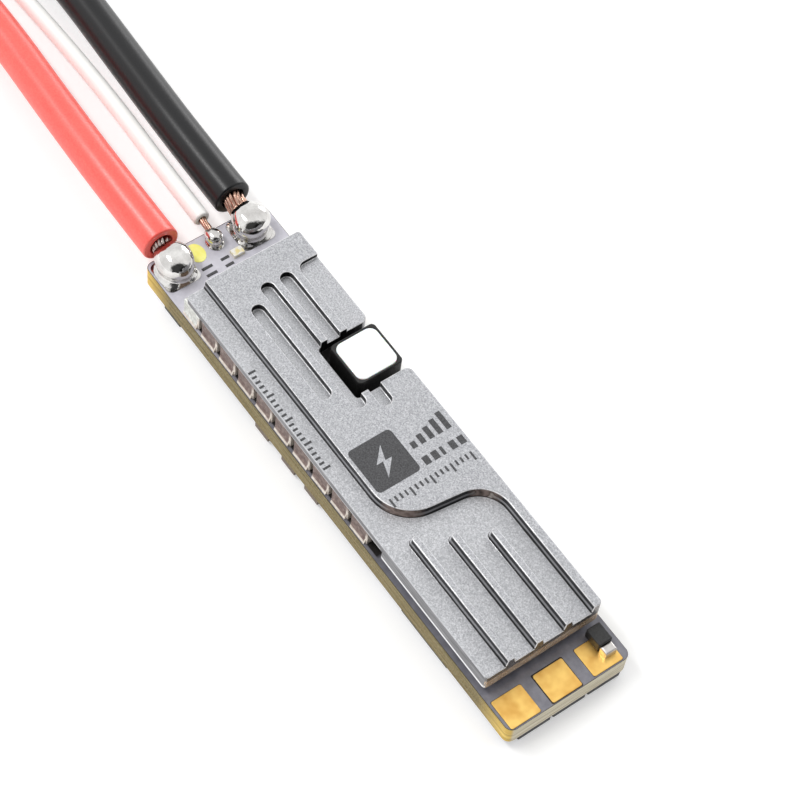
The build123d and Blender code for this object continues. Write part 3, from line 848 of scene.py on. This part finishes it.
# Rows of strands from the middle outwards: how many, and how far out as a share of the core.
POWER_ROWS = [(1, 0.0), (6, 0.42), (12, 0.95)]
SIGNAL_ROWS = [(1, 0.0), (6, 0.95)]
POWER_WIRE = 0.32
SIGNAL_WIRE = 0.2
PLUS_AT = (-20.55, -3.58)
MINUS_AT = (-20.65, 3.05)
SIGNAL_AT = (-21.2, 0.25)
add_strands("positive", "red_lead_strands", TINNED, RED_ROUTE, PLUS_AT, POWER_CORE, POWER_WIRE,
            POWER_ROWS, droop=0.7)
add_strands("negative", "black_lead_strands", COPPER, BLACK_ROUTE, MINUS_AT, POWER_CORE, POWER_WIRE,
            POWER_ROWS, droop=0.9)
add_strands("signal", "white_lead_strands", COPPER, SIGNAL_ROUTE, SIGNAL_AT, SIGNAL_CORE, SIGNAL_WIRE,
            SIGNAL_ROWS, droop=0.25)

# Outline of a solder joint from its foot to its top, as shares of its radius and height.
JOINT_OUTLINE = [(1.04, 0.0), (1.02, 0.02), (0.96, 0.06), (0.88, 0.12), (0.85, 0.19),
                 (0.90, 0.30), (0.97, 0.42), (1.0, 0.52), (0.97, 0.64), (0.87, 0.77),
                 (0.70, 0.88), (0.47, 0.955), (0.22, 0.99), (0.06, 0.999)]
JOINT_SIDES = 32
FOOT_RISE = 0.14                   # share of the height over which the foot follows its pad
FOOT_CORNERS = 0.10                # share of the radius by which it reaches into the pad's corners
TONGUE_AT = 0.50                   # share of the height where the tongue along the conductor is longest
TONGUE_FADE = 0.30                 # and how far up and down from there it fades
WAVE = 0.03                        # two slow swellings round a joint, as a share of its radius
RIPPLE = 0.02                      # and three smaller ones
POWER_JOINT_R = 1.46
POWER_JOINT_H = 2.45
SIGNAL_JOINT_R = 0.62
SIGNAL_JOINT_H = 1.15


def joint_reach(radius, tongue, seed, share, rise, angle):
    """How far a joint's surface is from its axis at a share of its height and an angle around it."""
    low = max(0.0, 1 - rise / FOOT_RISE)
    back = max(0.0, -math.cos(angle))
    reach = radius * share * (1 + FOOT_CORNERS * low * math.sin(2 * angle) ** 2)
    reach += tongue * back ** 2.5 * math.exp(-((rise - TONGUE_AT) / TONGUE_FADE) ** 2)
    waves = WAVE * math.sin(2 * angle + seed + 3 * rise) + RIPPLE * math.sin(3 * angle + 2 * seed)
    return reach + radius * waves * (1 - low)


def add_joint(key, name, place, radius, height, tongue, seed):
    """Solder joint: an uneven drop that wets its pad and reaches along the conductor, towards -X."""
    work = bmesh.new()
    loops = []
    for share, rise in JOINT_OUTLINE:
        loop = []
        for k in range(JOINT_SIDES):
            angle = math.tau * k / JOINT_SIDES
            reach = joint_reach(radius, tongue, seed, share, rise, angle)
            loop.append(work.verts.new(mm(place[0] + reach * math.cos(angle),
                                          place[1] + reach * math.sin(angle),
                                          PAD_TOP + height * rise)))
        loops.append(loop)
    add_skin(work, loops)
    mesh = mesh_from(work, name)
    mesh.materials.append(SOLDER)
    for polygon in mesh.polygons:
        polygon.use_smooth = True
    piece = add_piece(name, mesh, "solder", key + "_solder")
    rounding = piece.modifiers.new("rounding", "SUBSURF")
    rounding.levels = 2
    rounding.render_levels = 2


add_joint("positive", "red_lead_joint", PLUS_AT, POWER_JOINT_R, POWER_JOINT_H, tongue=0.55, seed=0.6)
add_joint("negative", "black_lead_joint", MINUS_AT, POWER_JOINT_R, POWER_JOINT_H, tongue=0.30, seed=2.1)
add_joint("signal", "white_lead_joint", SIGNAL_AT, SIGNAL_JOINT_R, SIGNAL_JOINT_H, tongue=0.40, seed=1.2)


# ---- thin sheets: solder mask and printed marks, drawn as outlines ----
def rounded_box(x0, x1, y0, y1, radius, steps=5):
    """Corner points of a rectangle with rounded corners, anticlockwise."""
    points = []
    for cx, cy, first in ((x1 - radius, y1 - radius, 0), (x0 + radius, y1 - radius, 1),
                          (x0 + radius, y0 + radius, 2), (x1 - radius, y0 + radius, 3)):
        for k in range(steps + 1):
            angle = math.pi / 2 * (first + k / steps)
            points.append((cx + radius * math.cos(angle), cy + radius * math.sin(angle)))
    return points


def ellipse(x, y, rx, ry, steps=28):
    """Points round an ellipse, anticlockwise."""
    return [(x + rx * math.cos(math.tau * k / steps), y + ry * math.sin(math.tau * k / steps))
            for k in range(steps)]


def add_sheet(work, outlines, bottom, top):
    """Flat solid between two heights. The first outline is its edge and the others are holes in it."""
    lower, upper = ([work.verts.new(mm(x, y, height)) for outline in outlines for x, y in outline]
                    for height in (bottom, top))
    for a, b, c in tessellate_polygon([[Vector((x, y, 0)) for x, y in outline] for outline in outlines]):
        work.faces.new((upper[a], upper[b], upper[c]))
        work.faces.new((lower[c], lower[b], lower[a]))
    start = 0
    for outline in outlines:
        for k in range(len(outline)):
            here = start + k
            after = start + (k + 1) % len(outline)
            work.faces.new((lower[here], lower[after], upper[after], upper[here]))
        start += len(outline)


MASK_T = 0.03
MASK_ROUND = 0.55                  # rounding of the mask's own corners
RIM_BATTERY = 0.06                 # bare rim of the board round the mask, at the battery end
RIM_MOTOR = 0.03                   # at the motor end
RIM_SIDES = 0.04                   # and along both sides
MOTOR_GAPS = {"a": 0.03, "b": 0.10, "c": 0.03}  # between each motor pad and the mask
MOTOR_LIMIT = BOARD_X1 - 0.05      # the motor pads' openings end here at the latest
MOTOR_ROUND = 0.12                 # corners of the openings round the motor pads
BATTERY_ROUND = 0.5                # and round the battery pads
SIGNAL_OPENING = (0.81, 0.67)      # half length and half width
OVERLAP = 0.03                     # how far the mask covers the bare pad's rim


def add_mask():
    """Lacquer over the board's upper face, with an opening for each pad."""
    holes = []
    for letter, gap in MOTOR_GAPS.items():
        low, high = (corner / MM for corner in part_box("motor_pad_" + letter))
        holes.append(rounded_box(low.x - gap, min(high.x + gap, MOTOR_LIMIT),
                                 low.y - gap, high.y + gap / 2, MOTOR_ROUND))
    for x, y in (PLUS_AT, MINUS_AT):
        holes.append(rounded_box(x - POWER_JOINT_R, x + POWER_JOINT_R,
                                 y - POWER_JOINT_R, y + POWER_JOINT_R, BATTERY_ROUND))
    holes.append(ellipse(*SIGNAL_AT, *SIGNAL_OPENING))
    low, high = (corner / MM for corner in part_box("telemetry_pad"))
    holes.append(ellipse((low.x + high.x) / 2, (low.y + high.y) / 2,
                         (high.x - low.x) / 2 - OVERLAP, (high.y - low.y) / 2 - OVERLAP))
    outer = rounded_box(BOARD_X0 + RIM_BATTERY, BOARD_X1 - RIM_MOTOR,
                        BOARD_Y0 + RIM_SIDES, BOARD_Y1 - RIM_SIDES, MASK_ROUND)
    work = bmesh.new()
    add_sheet(work, [outer, *holes], BOARD_TOP, BOARD_TOP + MASK_T)
    mesh = mesh_from(work, "solder_mask")
    mesh.materials.append(MASK)
    add_piece("solder_mask", mesh, "board")


add_mask()

PRINT_T = 0.008                    # how far a print stands proud of what it is on


def bar(x0, x1, y0, y1):
    """Corners of a plain bar."""
    return [(x0, y0), (x1, y0), (x1, y1), (x0, y1)]


def add_prints(name, slot_name, height, shapes):
    """Plain printed marks at the given height. Each is its outline and the holes in it."""
    work = bmesh.new()
    for outlines in shapes:
        add_sheet(work, outlines, height - PRINT_T, height + PRINT_T)
    mesh = mesh_from(work, name)
    mesh.materials.append(INK)
    add_piece(name, mesh, slot_name)


BADGE = (0.0, 3.9, -3.1, 0.55, 0.35)  # X from and to, Y from and to, and corner radius
BOLT = [(0.75, -0.75), (1.95, -1.9), (1.95, -1.35), (3.2, -1.75), (1.95, -0.6), (1.95, -1.15)]
SIGNS_Y0 = 1.0                     # where the bars and the dashes begin
BARS_FOOT_X = 2.3
BAR_HEIGHTS = (0.55, 0.8, 1.05, 1.3, 1.55)
BAR_PITCH = 0.72
BAR_W = 0.42
DASH_X = (3.15, 3.85)
DASH_LENGTHS = (0.5, 0.5, 0.25, 0.5, 0.5)
DASH_PITCH = 0.75
RULER_TICKS = 17
RULER_X0 = 4.6
RULER_LONG = 5.35
RULER_SHORT = 5.05
RULER_Y0 = -2.8
RULER_PITCH = 0.43
TICK_W = 0.16


def high_marks():
    """A badge with a bolt, a rising row of bars, a row of dashes and a ruler, on the raised land."""
    shapes = [[rounded_box(*BADGE), BOLT]]
    for k, height in enumerate(BAR_HEIGHTS):
        y = SIGNS_Y0 + BAR_PITCH * k
        shapes.append([bar(BARS_FOOT_X - height, BARS_FOOT_X, y, y + BAR_W)])
    for k, length in enumerate(DASH_LENGTHS):
        y = SIGNS_Y0 + DASH_PITCH * k
        shapes.append([bar(*DASH_X, y, y + length)])
    for k in range(RULER_TICKS):
        y = RULER_Y0 + RULER_PITCH * k
        shapes.append([bar(RULER_X0, RULER_LONG if k % 4 == 0 else RULER_SHORT, y, y + TICK_W)])
    return shapes


SCALE_TICKS = 21
SCALE_X = (-9.4, -9.22)            # from and to on the first tick
SCALE_PITCH = 0.46
SCALE_Y0 = -4.9
SCALE_LONG = -4.3
SCALE_SHORT = -4.5


def low_marks():
    """A scale beside the capacitors, on the lower plane."""
    first, last = SCALE_X
    return [[bar(first + SCALE_PITCH * k, last + SCALE_PITCH * k,
                 SCALE_Y0, SCALE_LONG if k % 5 == 0 else SCALE_SHORT)] for k in range(SCALE_TICKS)]


PAIRS_X = ((-19.75, -19.5), (-19.1, -18.85))
PAIRS_Y = ((-1.9, -1.0), (-0.25, 0.45))


def board_marks():
    """Two pairs of bars between the lead joints and the heat sink."""
    return [[bar(*across, *along)] for along in PAIRS_Y for across in PAIRS_X]


add_prints("marks_high", "heat_sink", HIGH_TOP, high_marks())
add_prints("marks_low", "heat_sink", LOW_TOP, low_marks())
add_prints("marks_board", "board", BOARD_TOP + MASK_T, board_marks())


# ---- floor and light ----
FLOOR_SIZE = 6.0                   # metres
FLOOR_Z = -0.02 * MM
FLOOR_TONES = [(0.3, 0.72), (0.7, 0.74)]


def add_floor():
    """Plain pale ground just under the part."""
    bpy.ops.mesh.primitive_plane_add(size=FLOOR_SIZE, location=(0, 0, FLOOR_Z))
    floor = bpy.context.object
    floor.name = "floor"
    look = Shader("floor_white", Roughness=0.9, Emission_Color=(1.0, 1.0, 1.0, 1.0), Emission_Strength=0.36)
    look.set("Base Color", look.ramp(look.noise(0.02, 2.0), FLOOR_TONES))
    floor.data.materials.append(look.material)


KEY_AT = (-0.36, -0.32, 0.80)      # metres
KEY_SIZE = (0.55, 0.10)            # metres along the leads and across them
KEY_POWER = 3.3


def add_key_light():
    """Long soft light that faces the origin, with its length along the leads."""
    data = bpy.data.lights.new("key", "AREA")
    data.shape = "RECTANGLE"
    data.size, data.size_y = KEY_SIZE
    data.energy = KEY_POWER
    light = bpy.data.objects.new("key", data)
    collection.objects.link(light)
    back = Vector(KEY_AT).normalized()
    along = Vector((1, 0, 0))
    along = (along - back * along.dot(back)).normalized()
    turn = Matrix((along, back.cross(along), back)).transposed().to_4x4()
    light.matrix_world = Matrix.Translation(KEY_AT) @ turn


# The studio's two dark places and its bright strip, as azimuth and elevation in degrees.
DARK_AT = (-18, 27)
DARK_LOW_AT = (18, 6)
STRIP_AT = (113, 14)
BACKDROP = (0.98, 0.98, 0.98)      # what the camera sees past the floor


def towards(azimuth, elevation):
    """Unit direction of a place in the studio."""
    across = math.cos(math.radians(elevation))
    return (across * math.cos(math.radians(azimuth)), across * math.sin(math.radians(azimuth)),
            math.sin(math.radians(elevation)))


def add_world():
    """White studio with two dark places towards +X, a bright strip towards +Y and a plain backdrop."""
    world = bpy.data.worlds.new("studio")
    scene.world = world
    world.use_nodes = True
    sky = Nodes(world.node_tree)
    direction = sky.node("ShaderNodeTexCoord").outputs["Generated"]

    def nearness(place):
        """1 straight towards the place, and 0 at right angles to it."""
        dot = sky.node("ShaderNodeVectorMath", operation="DOT_PRODUCT")
        sky.feed(dot.inputs[0], direction)
        sky.feed(dot.inputs[1], towards(*place))
        return dot.outputs["Value"]

    split = sky.node("ShaderNodeSeparateXYZ")
    sky.feed(split.inputs[0], direction)
    wall = sky.ramp(split.outputs["Z"], [(0.0, 1.0), (0.25, 1.06), (1.0, 1.06)])
    dark = sky.ramp(nearness(DARK_AT), [(0.66, 1.0), (0.80, 0.05)])
    dark_low = sky.ramp(nearness(DARK_LOW_AT), [(0.78, 1.0), (0.90, 0.12)])
    strip = sky.ramp(nearness(STRIP_AT), [(0.955, 0.0), (0.985, 4.0)])
    shaded = sky.math("MULTIPLY", wall, sky.math("MULTIPLY", dark, dark_low))
    light = sky.math("ADD", shaded, strip)
    seen = sky.node("ShaderNodeLightPath").outputs["Is Camera Ray"]
    background = sky.tree.nodes["Background"]
    sky.feed(background.inputs["Color"], sky.mix(seen, light, BACKDROP))
    sky.feed(background.inputs["Strength"], 1.0)


scene.view_settings.view_transform = "Standard"
add_floor()
add_world()
add_key_light()
